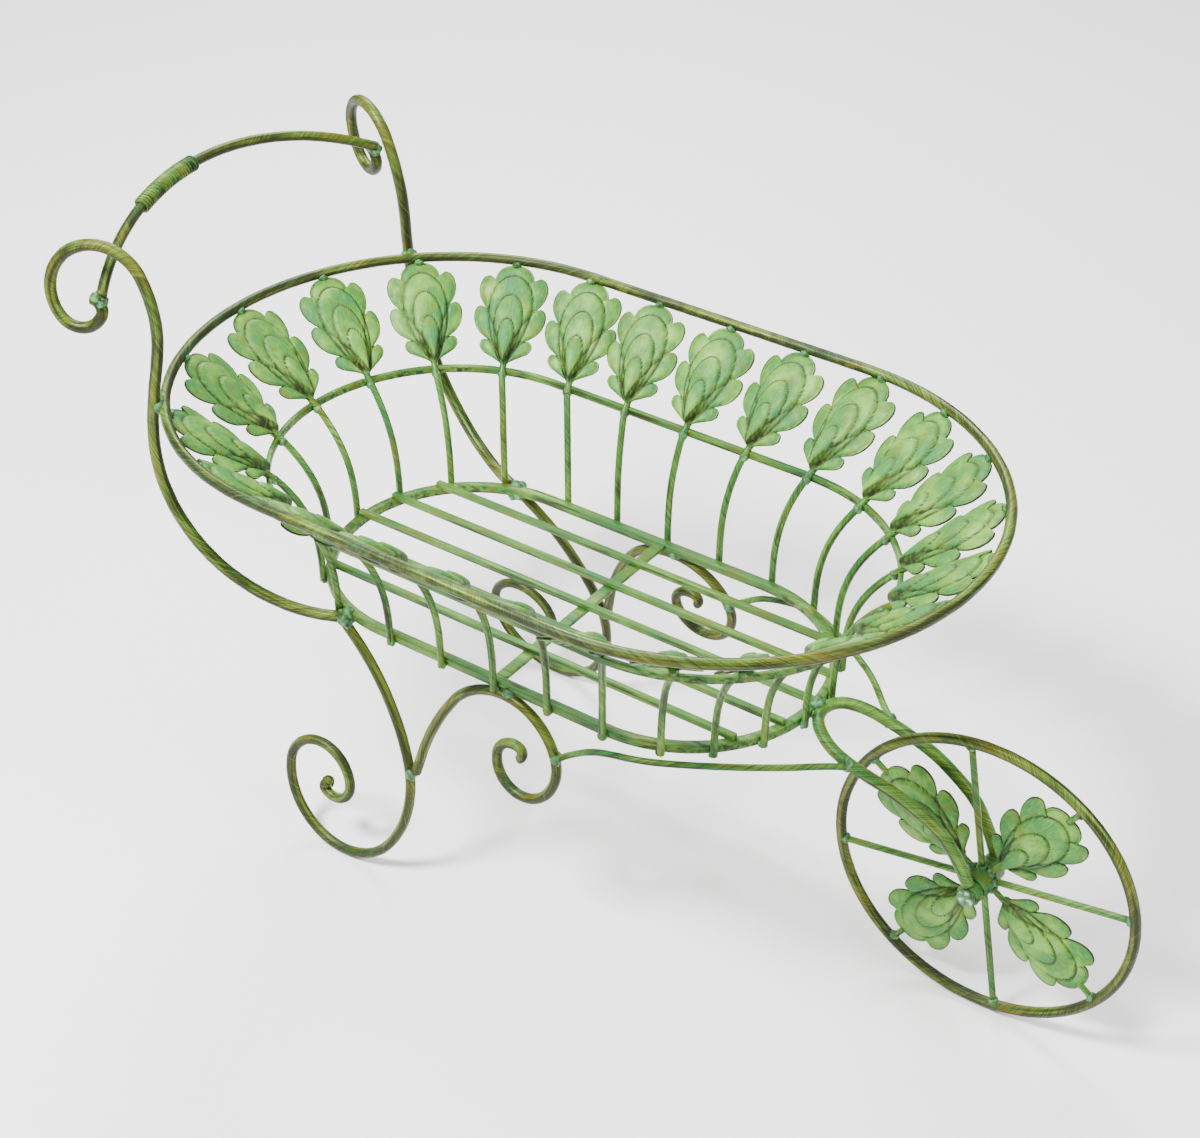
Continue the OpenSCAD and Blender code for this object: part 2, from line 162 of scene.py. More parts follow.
def verdigris_leaf():
    """Pressed leaf: green wash, gold rubbed on the swellings, brown left in the creases."""
    finish, shader = new_finish("verdigris_leaf")
    tree = finish.node_tree
    place = tree.nodes.new("ShaderNodeTexCoord").outputs["Object"]
    cloud = noise_field(tree, place, 42.0, 4.0, 0.6)
    wash = ramp(tree, cloud, [(0.30, TEAL_GREEN), (0.48, LEAF_GREEN), (0.64, PALE_GREEN)])
    lengthwise = scaled_coords(tree, own_value(tree, "grain", "Vector"), (900.0, 160.0, 300.0))
    brushed = noise_field(tree, lengthwise, 1.0, 4.0, 0.6)
    wash = blend_colour(tree, ease(tree, brushed, 0.46, 0.72, 0.0, 0.55), wash, PALE_GREEN)
    rub = noise_field(tree, place, 95.0, 3.0)
    wash = blend_colour(tree, ease(tree, rub, 0.52, 0.72, 0.0, 0.50), wash, OLD_GOLD)
    dull = ease(tree, brushed, 0.28, 0.46, 0.45, 0.0)
    wash = blend_colour(tree, dull, wash, MOSS)
    groove = own_value(tree, "groove")
    stain = math_node(tree, "MULTIPLY", groove, ease(tree, rub, 0.35, 0.65, 1.0, 0.70))
    brown = blend_colour(tree, ease(tree, brushed, 0.4, 0.6), UMBER, MOSS)
    wash = blend_colour(tree, ease(tree, stain, 0.10, 0.55, 0.0, 0.65), wash, brown)
    wash = blend_colour(tree, ease(tree, stain, 0.42, 0.90, 0.0, 0.95), wash, UMBER)
    tree.links.new(wash, shader.inputs["Base Color"])
    tree.links.new(ease(tree, cloud, 0.3, 0.7, 0.62, 0.42), shader.inputs["Roughness"])
    shader.inputs["Metallic"].default_value = 0.05
    shader.inputs["Specular IOR Level"].default_value = 0.25
    grit = noise_field(tree, place, 900.0, 4.0, 0.65)
    roughen(tree, shader, math_node(tree, "ADD", grit, brushed), 0.25 * MM, 0.35)
    return finish


def brushed_bar(name, light, dark, dark_share, gold_share):
    """Bar painted green, then dry-brushed lengthwise so that gold and dark iron show in streaks, with
    painted shade making the underside darker than the top.
    """
    finish, shader = new_finish(name)
    tree = finish.node_tree
    coords = tree.nodes.new("ShaderNodeTexCoord")
    place = coords.outputs["Object"]
    grain = own_value(tree, "grain", "Vector")
    streak = noise_field(tree, scaled_coords(tree, grain, (9.0, 330.0, 330.0)), 1.0, 4.0, 0.6)
    patch = noise_field(tree, scaled_coords(tree, grain, (38.0, 140.0, 140.0)), 1.0, 3.0, 0.55)
    wind = tree.nodes.new("ShaderNodeVectorRotate")
    wind.rotation_type = "X_AXIS"
    tree.links.new(grain, wind.inputs["Vector"])
    split = tree.nodes.new("ShaderNodeSeparateXYZ")
    tree.links.new(grain, split.inputs["Vector"])
    tree.links.new(math_node(tree, "MULTIPLY", split.outputs["X"], 260.0), wind.inputs["Angle"])
    wound = scaled_coords(tree, wind.outputs["Vector"], (25.0, 1500.0, 1500.0))
    hatch = noise_field(tree, wound, 1.0, 3.0, 0.6)
    cloud = noise_field(tree, place, 24.0, 3.0)
    facing = tree.nodes.new("ShaderNodeSeparateXYZ")
    tree.links.new(coords.outputs["Normal"], facing.inputs["Vector"])
    # Painted shade: the more the bar faces down, the more of the dark colour it takes; its top stays
    # lighter.
    up = ease(tree, facing.outputs["Z"], -0.7, 0.7)
    paint = ramp(tree, math_node(tree, "ADD", math_node(tree, "MULTIPLY", streak, 0.55),
                                 math_node(tree, "MULTIPLY", cloud, 0.45)),
                 [(0.36, TEAL_GREEN), (0.47, light), (0.60, PALE_GREEN)])
    gold = math_node(tree, "ADD", math_node(tree, "MULTIPLY", streak, 0.5),
                     math_node(tree, "MULTIPLY", patch, 0.5))
    gold = ease(tree, gold, 0.52 - gold_share, 0.62 - gold_share)
    paint = blend_colour(tree, math_node(tree, "MULTIPLY", gold, 0.75), paint, OLD_GOLD)
    bare_iron_and_painted_shade = math_node(tree, "ADD", math_node(tree, "MULTIPLY", streak, 0.5),
                     math_node(tree, "MULTIPLY", patch, 0.38))
    # Painted shade on the underside is added to the dark iron streaks here.
    bare_iron_and_painted_shade = math_node(tree, "ADD", bare_iron_and_painted_shade, math_node(tree, "MULTIPLY", up, 0.14))
    bare_iron_and_painted_shade = ease(tree, bare_iron_and_painted_shade, 0.38 + dark_share, 0.52 + dark_share, 1.0, 0.0)
    paint = blend_colour(tree, math_node(tree, "MULTIPLY", bare_iron_and_painted_shade, 0.90), paint, dark)
    paint = blend_colour(tree, ease(tree, hatch, 0.34, 0.62, 0.80, 0.0), paint, dark)
    paint = blend_colour(tree, ease(tree, hatch, 0.58, 0.74, 0.0, 0.50), paint, PALE_GREEN)
    tree.links.new(paint, shader.inputs["Base Color"])
    tree.links.new(ease(tree, streak, 0.3, 0.7, 0.52, 0.32), shader.inputs["Roughness"])
    shader.inputs["Metallic"].default_value = 0.15
    shader.inputs["Specular IOR Level"].default_value = 0.22
    pits = noise_field(tree, place, 700.0, 4.0, 0.6)
    roughen(tree, shader, math_node(tree, "ADD", pits, hatch), 0.2 * MM, 0.40)
    return finish


def weld_finish():
    """Weld metal under thick teal paint."""
    finish, shader = new_finish("painted_weld")
    tree = finish.node_tree
    place = tree.nodes.new("ShaderNodeTexCoord").outputs["Object"]
    cloud = noise_field(tree, place, 240.0, 4.0)
    paint = ramp(tree, cloud, [(0.30, SOOT), (0.42, MOSS), (0.54, TEAL_GREEN), (0.70, PALE_GREEN)])
    tree.links.new(paint, shader.inputs["Base Color"])
    shader.inputs["Roughness"].default_value = 0.5
    roughen(tree, shader, noise_field(tree, place, 800.0, 4.0), 0.25 * MM, 0.5)
    return finish


def bolt_finish():
    """Bolt steel under worn teal paint, with bright metal showing where the paint has gone."""
    finish, shader = new_finish("worn_bolt")
    tree = finish.node_tree
    place = tree.nodes.new("ShaderNodeTexCoord").outputs["Object"]
    rings = noise_field(tree, scaled_coords(tree, place, (120.0, 2200.0, 120.0)), 1.0, 2.0)
    cloud = noise_field(tree, place, 260.0, 4.0)
    worn = ease(tree, cloud, 0.54, 0.60)
    paint = ramp(tree, cloud, [(0.30, SOOT), (0.42, MOSS), (0.50, TEAL_GREEN)])
    tree.links.new(blend_colour(tree, worn, paint, BARE_STEEL), shader.inputs["Base Color"])
    tree.links.new(worn, shader.inputs["Metallic"])
    tree.links.new(ease(tree, rings, 0.3, 0.7, 0.30, 0.55), shader.inputs["Roughness"])
    roughen(tree, shader, rings, 0.15 * MM, 0.4)
    return finish


LEAF_FINISH = verdigris_leaf()
GREEN_BAR = brushed_bar("green_bar", LEAF_GREEN, UMBER, 0.02, 0.01)
BRONZED_BAR = brushed_bar("bronzed_bar", MOSS, UMBER, 0.10, 0.05)
WIRE_FINISH = brushed_bar("wire", LEAF_GREEN, SOOT, 0.06, 0.03)
WELD_FINISH = weld_finish()
BOLT_FINISH = bolt_finish()


# --- Bars ---

def show(mesh, name, body, finishes, replaced=()):
    """Puts a finished mesh in the scene as a named piece that moves with a body."""
    for finish in finishes:
        mesh.materials.append(finish)
    piece = bpy.data.objects.new(name, mesh)
    bpy.context.scene.collection.objects.link(piece)
    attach(piece, body)
    if replaced:
        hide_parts(*replaced)


def merged_copy(node):
    """A CAD solid as a bmesh whose triangles share their corners."""
    bm = bmesh.new()
    bm.from_mesh(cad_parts[node].data)
    bmesh.ops.remove_doubles(bm, verts=bm.verts[:], dist=0.005 * MM)
    return bm


def flat_patch(face):
    """All faces that lie in one plane with a face and join on to it."""
    patch = {face}
    edge_of_patch = [face]
    while edge_of_patch:
        for edge in edge_of_patch.pop().edges:
            for other in edge.link_faces:
                if other not in patch and other.normal.dot(face.normal) > 0.99999:
                    patch.add(other)
                    edge_of_patch.append(other)
    return patch


def end_ring(bm):
    """The corners of one flat end of a swept bar."""
    for face in bm.faces:
        corners = {v for f in flat_patch(face) for v in f.verts}
        if len(corners) != ROD_CORNERS:
            continue
        middle = sum((v.co for v in corners), Vector()) / ROD_CORNERS
        reach = [(v.co - middle).length for v in corners]
        if max(reach) - min(reach) < 0.02 * MM:
            return corners
    raise RuntimeError("the bar has no flat round end")


def bar_route(node):
    """Centre line of a swept bar, and its radius at each point, from the rings of its CAD solid."""
    bm = merged_copy(node)
    ring = end_ring(bm)
    seen = set(ring)
    route, radii = [], []
    while ring:
        middle = sum((v.co for v in ring), Vector()) / len(ring)
        route.append(middle)
        radii.append(max((v.co - middle).length for v in ring))
        ring = {e.other_vert(v) for v in ring for e in v.link_edges} - seen
        seen |= ring
    bm.free()
    return route, radii


# Slight unevenness of a hand-worked bar
HAMMER_DEPTH = 0.12 * MM
HAMMER_SCALE = 130.0


def bar_mesh(route, radius, closed=False, steps=3, phase=0.0, blunt=0.4, radii=None):
    """Round bar along a route, with softened ends and a brushing grain that follows it."""
    curve = bpy.data.curves.new("bar", "CURVE")
    curve.dimensions = "3D"
    curve.resolution_u = steps
    curve.bevel_depth = radius
    curve.bevel_resolution = 5
    curve.use_fill_caps = not closed
    spline = curve.splines.new("BEZIER")
    spline.bezier_points.add(len(route) - 1)
    for point, place in zip(spline.bezier_points, route):
        point.co = place
        point.handle_left_type = point.handle_right_type = "AUTO"
    for point, own_radius in zip(spline.bezier_points, radii or []):
        point.radius = own_radius / radius
    spline.use_cyclic_u = closed
    holder = bpy.data.objects.new("bar", curve)
    mesh = bpy.data.meshes.new_from_object(holder)
    bpy.data.objects.remove(holder)
    bpy.data.curves.remove(curve)
    length = sum((b - a).length for a, b in zip(route, route[1:]))
    bm = bmesh.new()
    bm.from_mesh(mesh)
    grain = bm.verts.layers.float_vector.new("grain")
    uv = bm.loops.layers.uv.active
    for face in bm.faces:
        if len(face.verts) != 4:
            continue
        for loop in face.loops:
            along, around = loop[uv].uv
            along = abs(1.0 - 2.0 * along) / 2.0 if closed else along
            angle = math.tau * around
            loop.vert[grain] = (along * length + phase,
                                radius * math.cos(angle), radius * math.sin(angle))
    bmesh.ops.remove_doubles(bm, verts=bm.verts[:], dist=0.001 * MM)
    caps = [f for f in bm.faces if len(f.verts) == 3]
    if caps and blunt:
        rims = [e for e in bm.edges if {len(f.verts) for f in e.link_faces} == {3, 4}]
        bmesh.ops.dissolve_faces(bm, faces=caps)
        bmesh.ops.bevel(bm, geom=[e for e in rims if e.is_valid], offset=blunt * radius, segments=3,
                        profile=0.5, affect="EDGES", material=-1)
    for vert in bm.verts:
        vert.co += vert.normal * HAMMER_DEPTH * noise.noise(vert.co * HAMMER_SCALE)
    return finish_mesh(bm, mesh)


def finish_mesh(bm, mesh=None):
    """The bmesh written out as a smooth-shaded mesh, and freed."""
    mesh = mesh or bpy.data.meshes.new("piece")
    for face in bm.faces:
        face.smooth = True
    bm.to_mesh(mesh)
    bm.free()
    return mesh


def squared_copy(node, edge, steps=2):
    """A square or flat bar with its edges eased, copied from its CAD solid."""
    bm = merged_copy(node)
    bmesh.ops.dissolve_limit(bm, angle_limit=math.radians(0.5), verts=bm.verts[:], edges=bm.edges[:])
    sharp = [e for e in bm.edges if e.is_manifold and e.calc_face_angle() > math.radians(40)]
    bmesh.ops.bevel(bm, geom=sharp, offset=edge, segments=steps, profile=0.5, affect="EDGES",
                    material=-1, clamp_overlap=True)
    grain = bm.verts.layers.float_vector.new("grain")
    for vert in bm.verts:
        vert[grain] = vert.co
    mesh = finish_mesh(bm)
    mesh.set_sharp_from_angle(angle=math.radians(35))
    return mesh


def swept_piece(node, name, finish, phase):
    """Shows a swept bar of the frame and returns its centre line."""
    route, radii = bar_route(node)
    show(bar_mesh(route, max(radii), phase=phase, radii=radii), name, FRAME_BODY, [finish], [node])
    return route


# --- Rings ---

def ring_size(node):
    """Straight length, end radius to the outside, and middle of a ring with two round ends."""
    low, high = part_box(node)
    span = high - low
    return span.x - span.y, span.y / 2, (low + high) / 2


STRAIGHT_STEPS = 12  # to half of a straight side
END_STEPS = 16


def stadium_route(straight, radius, middle):
    """Points around a ring with two straight sides and two round ends, from the middle of a side."""
    route = []
    stride = straight / (2 * STRAIGHT_STEPS)
    for start, side in ((-90, 1), (90, -1)):
        for step in range(STRAIGHT_STEPS):
            route.append(middle + Vector((side * stride * step, -side * radius, 0)))
        for step in range(END_STEPS + 1):
            angle = math.radians(start + 180 * step / END_STEPS)
            route.append(middle + Vector((side * straight / 2 + radius * math.cos(angle),
                                          radius * math.sin(angle), 0)))
        for step in range(STRAIGHT_STEPS - 1, 0, -1):
            route.append(middle + Vector((side * stride * step, side * radius, 0)))
    return route


RIM_STRAIGHT, RIM_OUTSIDE, RIM_MIDDLE = ring_size("top_rim")
ROD_R = (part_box("top_rim")[1].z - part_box("top_rim")[0].z) / 2
RIM_R = RIM_OUTSIDE - ROD_R
RIM_ROUTE = stadium_route(RIM_STRAIGHT, RIM_R, RIM_MIDDLE)
BAND_STRAIGHT, BAND_OUTSIDE, BAND_MIDDLE = ring_size("middle_band")
BASE_STRAIGHT, BASE_OUTSIDE, BASE_MIDDLE = ring_size("base_ring")
BASE_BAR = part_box("base_ring")[1].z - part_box("base_ring")[0].z
FLOOR_BARS = 5
RING_EDGE = 0.9 * MM
FLOOR_EDGE = 0.5 * MM
# How far the ends of bars sink into what they are welded to
WELD_BITE = 0.4 * MM


def rings():
    """The rim, the band, the base ring and the floor inside it."""
    show(bar_mesh(RIM_ROUTE, ROD_R, closed=True), "rim_bar", FRAME_BODY, [BRONZED_BAR], ["top_rim"])
    show(squared_copy("middle_band", RING_EDGE), "band_bar", FRAME_BODY, [GREEN_BAR], ["middle_band"])
    show(squared_copy("base_ring", RING_EDGE), "base_bar", FRAME_BODY, [GREEN_BAR], ["base_ring"])
    for number in range(1, FLOOR_BARS + 1):
        node = f"floor_bar_{number}"
        show(squared_copy(node, FLOOR_EDGE), f"floor_slat_{number}", FRAME_BODY, [GREEN_BAR], [node])
    show(squared_copy("cross_bar", FLOOR_EDGE), "floor_tie", FRAME_BODY, [GREEN_BAR], ["cross_bar"])


# --- Leaves ---

# The leaf is shaped in millimetres and made metres when it is put in place
LEAF_LONG = 80.0
# Right half of the leaf's edge in mm from foot to tip: (across, along)
LEAF_EDGE = [(0, 0), (3, 2.5), (8, 5.2), (13.5, 8), (18, 10.5), (20.8, 14.2), (20.6, 18), (18.2, 20.2),
             (14.6, 19.6), (18, 22), (22.8, 25.5), (26.6, 30.5), (28.6, 36), (29, 41), (27.4, 45.2),
             (23.8, 46.6), (19.8, 44.6), (22.6, 48), (25.8, 53), (27.6, 59), (27.4, 65), (25, 69.6),
             (21.2, 71.4), (17.6, 69.6), (14.8, 66), (15.6, 69.5), (14.4, 73.5), (11.2, 77.2), (6.4, 79.6),
             (0, 80)]
# Petals pressed one above another, in mm: foot, top, half-width and rise
PETALS = [(1.0, 70.5, 16.4, 1.5), (1.5, 54.0, 10.4, 1.3), (2.0, 34.0, 5.8, 1.1)]
PETAL_WIDEST = 0.68
# Creases that run from a notch down to the foot: notch across and along in mm
CREASES = [(14.6, 19.6), (19.8, 44.6)]
LEAF_THICK = 1.5
CORNER_PULL = 0.35
EDGE_STEPS = 92
ACROSS_STEPS = 46


def edge_point(share):
    """Point on the leaf's edge at a share of the way from foot to tip, with the corners rounded."""
    lengths = [math.dist(a, b) for a, b in zip(LEAF_EDGE, LEAF_EDGE[1:])]
    left = share * sum(lengths)
    for index, length in enumerate(lengths):
        if left <= length or index == len(lengths) - 1:
            break
        left -= length
    t = min(left / lengths[index], 1.0)
    last = len(LEAF_EDGE) - 1
    before, start, end, after = (Vector(LEAF_EDGE[min(max(index + k, 0), last)]) for k in (-1, 0, 1, 2))
    first, second = (end - before) * CORNER_PULL, (after - start) * CORNER_PULL
    return (start * (2 * t ** 3 - 3 * t ** 2 + 1) + first * (t ** 3 - 2 * t ** 2 + t)
            + end * (3 * t ** 2 - 2 * t ** 3) + second * (t ** 3 - t ** 2))


def petal_inset(x, y, foot, top, half_width):
    """Distance in mm inside a petal's edge, negative outside."""
    long = top - foot
    belly = foot + PETAL_WIDEST * long
    if y > belly:
        cap = long * (1 - PETAL_WIDEST)
        return (1.0 - math.hypot(x / half_width, (y - belly) / cap)) * (half_width + cap) / 2
    share = (y - foot) / (belly - foot)
    if share <= 0.0:
        return y - foot - abs(x)
    return (half_width * math.sin(math.pi / 2 * share) ** 0.85 - abs(x)) * 0.9


def soft_step(value):
    """0 to 1, level at both ends."""
    value = min(max(value, 0.0), 1.0)
    return value * value * (3.0 - 2.0 * value)


def bell(value, width):
    """1 in the middle, falling to nothing within about two widths."""
    return math.exp(-(value / width) ** 2)


def leaf_relief(x, y, rim):
    """Height in mm and darkness of the crease at a point of the leaf, rim mm in from the edge."""
    height = 1.2 * soft_step(rim / 7.0) - 0.5 * bell(rim - 1.6, 1.0)
    crease = max(1.0 - soft_step(rim / 0.9), 0.6 * bell(rim - 1.7, 0.5))
    for foot, top, half_width, rise in PETALS:
        inset = petal_inset(x, y, foot, top, half_width)
        height += 1.25 * rise * soft_step((inset + 0.5) / 1.4) - 0.8 * bell(inset + 1.2, 0.9)
        height += 0.09 * max(min(inset, 7.0), 0.0)
        crease = max(crease, bell(inset + 0.9, 0.75) * soft_step((y - foot) / 5.0))
    for across, along in CREASES:
        share = (y - 2.0) / (along - 2.0)
        if 0.0 < share < 1.0:
            off = (abs(x) - across * (0.75 * share + 0.25 * share ** 3)) * 0.85
            height -= 0.9 * bell(off, 1.0)
            crease = max(crease, 0.9 * bell(off, 0.65))
    return height, crease


def leaf_template():
    """The pressed leaf in millimetres, flat in XY with its face up and its foot at the origin."""
    bm = bmesh.new()
    bmesh.ops.create_grid(bm, x_segments=ACROSS_STEPS, y_segments=EDGE_STEPS, size=1.0)
    grain = bm.verts.layers.float_vector.new("grain")
    groove = bm.verts.layers.float.new("groove")
    edge = {}
    for vert in bm.verts:
        row = round((vert.co.y + 1.0) / 2.0 * EDGE_STEPS)
        if row not in edge:
            edge[row] = edge_point(row / EDGE_STEPS)
        rim = edge[row]
        root = Vector((0.0, LEAF_LONG * (row / EDGE_STEPS) ** 1.25 if row < EDGE_STEPS else LEAF_LONG))
        side = math.copysign(1.0, vert.co.x)
        share = abs(vert.co.x) ** 0.9
        point = root.lerp(rim, share)
        inside = (1.0 - share) * (rim - root).length
        height, deep = leaf_relief(point.x, point.y, inside)
        vert[grain] = (side * point.x * MM, point.y * MM, 0.0)
        vert[groove] = deep
        vert.co = Vector((side * point.x, point.y, height))
    bmesh.ops.remove_doubles(bm, verts=bm.verts[:], dist=0.02)
    back = bmesh.ops.extrude_face_region(bm, geom=bm.faces[:], use_keep_orig=True)["geom"]
    back = [part for part in back if isinstance(part, bmesh.types.BMVert)]
    bmesh.ops.translate(bm, verts=back, vec=(0, 0, -LEAF_THICK))
    bmesh.ops.recalc_face_normals(bm, faces=bm.faces[:])
    mesh = bpy.data.meshes.new("leaf")
    bm.to_mesh(mesh)
    bm.free()
    return mesh


LEAF = leaf_template()


def leaf_mesh(base, along, face, length, seed, width=1.0):
    """A leaf with its foot at base, its tip along a direction and its pressed side turned to face."""
    tilt = math.radians(3.5) * noise.noise(Vector((seed, 2.9, 0.0)))
    along = Matrix.Rotation(tilt, 3, face) @ along
    across = along.cross(face).normalized()
    bm = bmesh.new()
    bm.from_mesh(LEAF)
    droop = 0.0035 + 0.0012 * noise.noise(Vector((seed, 0.3, 0.0)))
    curl = 1.6 + 0.9 * noise.noise(Vector((seed, 7.1, 0.0)))
    for vert in bm.verts:
        x, y, z = vert.co
        z += curl * math.sin(math.pi * y / LEAF_LONG) - droop * x * x
        z += 0.9 * noise.noise(Vector((x * 0.035, y * 0.035, seed * 3.7)))
        vert.co = Vector((x * width, y * length / LEAF_LONG, z)) * MM
    turn = Matrix((across, along, face)).transposed().to_4x4()
    bm.transform(Matrix.Translation(base) @ turn)
    return finish_mesh(bm)


# --- Ribs ---

SIDE_RIBS = 5
REAR_RIBS = 7
FRONT_RIBS = 8
RIB_SHIFT = 8 * MM
BASE_PITCH = 47.5 * MM
BAND_PITCH = 54 * MM
RIM_PITCH = 66 * MM
REAR_STEP = 23.5
REAR_STEP_BASE = 22.5
FRONT_STEP = 19
RIB_R = 2.75 * MM
LEAF_LIFT = 3.35 * MM
LEAF_LEAN = math.radians(48)
LEAF_GAP = 6 * MM
TIP_GAP = ROD_R + 0.6 * MM
BAND_THICK = 4 * MM
RIB_STEPS = 7
RIB_TAIL = (10 * MM, 30 * MM)
FRONT_LEAF_WIDTH = 0.93


def rib_place(number, straight, pitch, rear_step, radius):
    """Where a rib meets a ring, seen from above, from the ring's middle."""
    if number <= 2 * SIDE_RIBS:
        along = (number - 1) % SIDE_RIBS - (SIDE_RIBS - 1) / 2
        return Vector((RIB_SHIFT + pitch * along, radius if number <= SIDE_RIBS else -radius, 0))
    if number <= 2 * SIDE_RIBS + REAR_RIBS:
        angle = math.radians(180 + rear_step * (number - 2 * SIDE_RIBS - (REAR_RIBS + 1) / 2))
        return Vector((-straight / 2 + radius * math.cos(angle), radius * math.sin(angle), 0))
    angle = math.radians(FRONT_STEP * (number - 2 * SIDE_RIBS - REAR_RIBS - (FRONT_RIBS + 1) / 2))
    return Vector((straight / 2 + radius * math.cos(angle), radius * math.sin(angle), 0))


def joined(meshes):
    """Several meshes as one; the first has the first finish and the rest have the second."""
    bm = bmesh.new()
    bm.verts.layers.float_vector.new("grain")
    bm.verts.layers.float.new("groove")
    for index, mesh in enumerate(meshes):
        start = len(bm.faces)
        bm.from_mesh(mesh)
        bm.faces.ensure_lookup_table()
        for face in bm.faces[start:]:
            face.material_index = min(index, 1)
        bpy.data.meshes.remove(mesh)
    return finish_mesh(bm)


def leaf_rib(number):
    """One rib from the base ring up to the rim, with its leaf above the band."""
    base_r = BASE_OUTSIDE + RIB_R - WELD_BITE
    start_r = BAND_OUTSIDE - BAND_THICK - RIB_R - LEAF_LIFT * math.cos(LEAF_LEAN) + WELD_BITE
    start_z = BAND_MIDDLE.z + LEAF_LIFT * math.sin(LEAF_LEAN)
    middle = Vector((BASE_MIDDLE.x, 0, 0))
    foot = middle + rib_place(number, BASE_STRAIGHT, BASE_PITCH, REAR_STEP_BASE, base_r)
    foot.z = BASE_MIDDLE.z - BASE_BAR / 2 - 0.5 * MM
    start = middle + rib_place(number, BAND_STRAIGHT, BAND_PITCH, REAR_STEP, start_r)
    start.z = start_z
    end = middle + rib_place(number, RIM_STRAIGHT, RIM_PITCH, REAR_STEP, RIM_R)
    end.z = RIM_MIDDLE.z
    along = (end - start).normalized()
    flat = Vector((along.x, along.y, 0)).normalized()
    face = -(flat * along.z - Vector((0, 0, math.hypot(along.x, along.y))))
    bend = start - face * LEAF_LIFT
    route = []
    for step in range(RIB_STEPS):
        t = step / RIB_STEPS
        point = foot.lerp(bend, t ** 3)
        point.z = foot.z + (bend.z - foot.z) * t
        route.append(point)
    route += [bend] + [bend + along * tail for tail in RIB_TAIL]
    rib = bar_mesh(route, RIB_R, phase=number * 0.37, steps=2, blunt=0.25)
    reach = (end - start).length
    front = number > 2 * SIDE_RIBS + REAR_RIBS
    leaf_length = (reach - LEAF_GAP - TIP_GAP) / MM
    leaf = leaf_mesh(start + along * LEAF_GAP, along, face, leaf_length, number * 1.7,
                     FRONT_LEAF_WIDTH if front else 1.0)
    show(joined([rib, leaf]), f"oak_leaf_{number}", FRAME_BODY, [GREEN_BAR, LEAF_FINISH],
         [f"leaf_rib_{number}"])
    return foot, bend, end, along


# --- Welds ---

BEAD_LUMPS = 0.25
BEAD_PRESS = 0.35


def add_bead(bm, place, size, seed, flat=None):
    """A lump of weld metal, pressed flatter along one direction where that is given."""
    made = bmesh.ops.create_icosphere(bm, subdivisions=3, radius=size)["verts"]
    for vert in made:
        way = vert.co.normalized()
        vert.co *= 1.0 + BEAD_LUMPS * noise.noise(way * 1.7 + Vector((seed * 5.1, 0, 0)))
        if flat:
            vert.co -= flat * vert.co.dot(flat) * BEAD_PRESS
        vert.co += place


def bead_piece(name, body, beads):
    """All the welds of one body as one piece."""
    bm = bmesh.new()
    for seed, (place, size, flat) in enumerate(beads):
        add_bead(bm, place, size, seed * 0.77, flat)
    show(finish_mesh(bm), name, body, [WELD_FINISH])


def finer(route, step=2 * MM):
    """The route with points added so that none is much more than a step from the next."""
    points = []
    for start, end in zip(route, route[1:]):
        count = max(int((end - start).length / step), 1)
        points += [start.lerp(end, k / count) for k in range(count)]
    return points + [route[-1]]


def nearest(first, second):
    """The closest points of two routes."""
    others = finer(second)
    return min(((a, min(others, key=lambda b: (a - b).length_squared)) for a in finer(first)),
               key=lambda pair: (pair[0] - pair[1]).length_squared)


def weld_between(beads, first, second, size):
    """A lump of weld on both sides of where two bars touch."""
    a, b = nearest(first, second)
    middle = (a + b) / 2
    across = (b - a).normalized()
    run = finer(first)
    index = min(range(len(run)), key=lambda k: (run[k] - a).length_squared)
    along = (run[min(index + 2, len(run) - 1)] - run[max(index - 2, 0)]).normalized()
    beside = along.cross(across).normalized()
    for side in (-1, 1):
        beads.append((middle + beside * side * size * 0.55, size * 0.85, None))
        beads.append((middle + beside * side * size * 0.3 + along * side * size * 0.7, size * 0.6, None))


# --- Wheel ---

AXLE_LOW, AXLE_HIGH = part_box("axle")
AXLE = (AXLE_LOW + AXLE_HIGH) / 2
WHEEL_LOW, WHEEL_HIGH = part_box("wheel_rim")
WHEEL_R = (WHEEL_HIGH.x - WHEEL_LOW.x) / 2 - ROD_R
HUB_R = (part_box("wheel_hub")[1].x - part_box("wheel_hub")[0].x) / 2
WHEEL_TURN = 10
WHEEL_LEAF_GAP = 10 * MM
SPOKES = 4
TYRE_POINTS = 48
SPOKE_R = 2.5 * MM
STEM_R = 2.25 * MM
SPOKE_BEAD = 4.2 * MM
STEM_BEAD = 3.8 * MM
HUB_BEAD = 4.0 * MM


def wheel_way(angle):
    """Direction in the wheel's plane, in degrees up from forward."""
    turn = math.radians(angle)
    return Vector((math.cos(turn), 0, math.sin(turn)))


def wheel_bar(way, start, end, steps, radius, phase):
    """A straight bar in the wheel, from start to end out from the axle."""
    route = [AXLE + way * (start + (end - start) * k / steps) for k in range(steps + 1)]
    return bar_mesh(route, radius, phase=phase, blunt=0)


